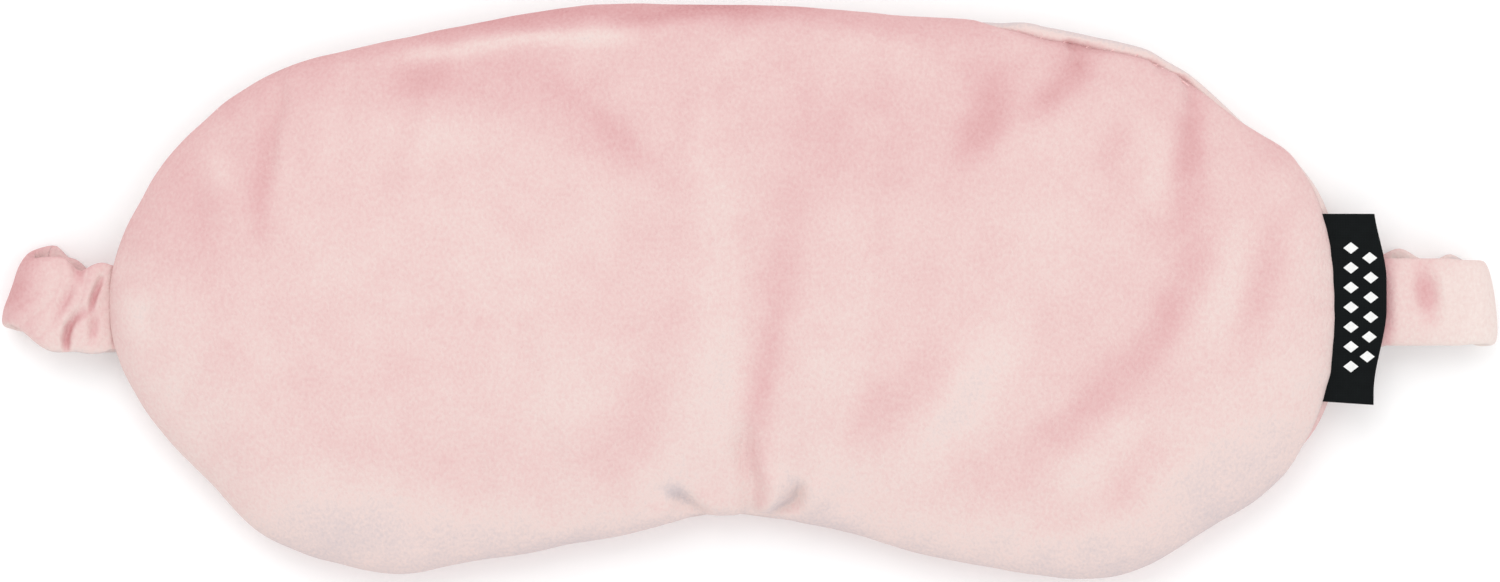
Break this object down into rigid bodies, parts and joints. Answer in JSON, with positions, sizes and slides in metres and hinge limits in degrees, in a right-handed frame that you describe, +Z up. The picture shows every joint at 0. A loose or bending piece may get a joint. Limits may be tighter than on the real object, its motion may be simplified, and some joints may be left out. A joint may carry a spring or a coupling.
{
  "type": "eye pillow",
  "caption": "Padded velvet eye pillow with a nose notch, a covered elastic head strap sewn into both side seams and a folded side label.",
  "frame": {"origin": "centre of the overall footprint on the surface that the mask lies on, under the nose notch", "axes": "+X to the right as the front is seen, along the strap; +Y towards the forehead edge; +Z up, out of the front face"},
  "size_m": [0.2586, 0.0996, 0.0165],
  "materials": {
    "velvet": "pale pink short-pile velvet",
    "wadding": "white polyester wadding",
    "lining": "matt black woven lining",
    "elastic": "ribbed white knitted elastic",
    "thread": "pink polyester sewing thread",
    "label_tape": "black woven satin tape",
    "label_yarn": "off-white woven yarn"
  },
  "bodies": {
    "strap": {"strap_cover": "velvet", "strap_elastic": "elastic", "strap_seam_thread": "thread"},
    "mask": {"front_cover": "velvet", "back_cover": "velvet", "front_wadding": "wadding", "back_wadding": "wadding", "blackout_lining": "lining", "seam_needle_thread": "thread", "seam_bobbin_thread": "thread", "closing_stitches": "thread", "strap_tail_left": "velvet", "strap_tail_right": "velvet", "elastic_tail_left": "elastic", "elastic_tail_right": "elastic", "strap_tack_left": "thread", "strap_tack_right": "thread", "label_tail": "label_tape"},
    "label": {"side_label": "label_tape", "label_motif": "label_yarn"}
  },
  "joints": [
    {"name": "strap_pull", "type": "slide", "parent": "strap", "child": "mask", "axis": [0, 0, 1], "range_m": [0, 0.06], "stiffness_N_per_m": 40, "deforming": ["strap_cover", "strap_elastic", "strap_seam_thread"]},
    {"name": "label_flip", "type": "hinge", "parent": "mask", "child": "label", "pos_m": [0.10125, -0.0028, 0.00985], "axis": [0, -1, 0], "range_deg": [0, 100], "stiffness_Nm_per_rad": 0.00004}
  ]
}
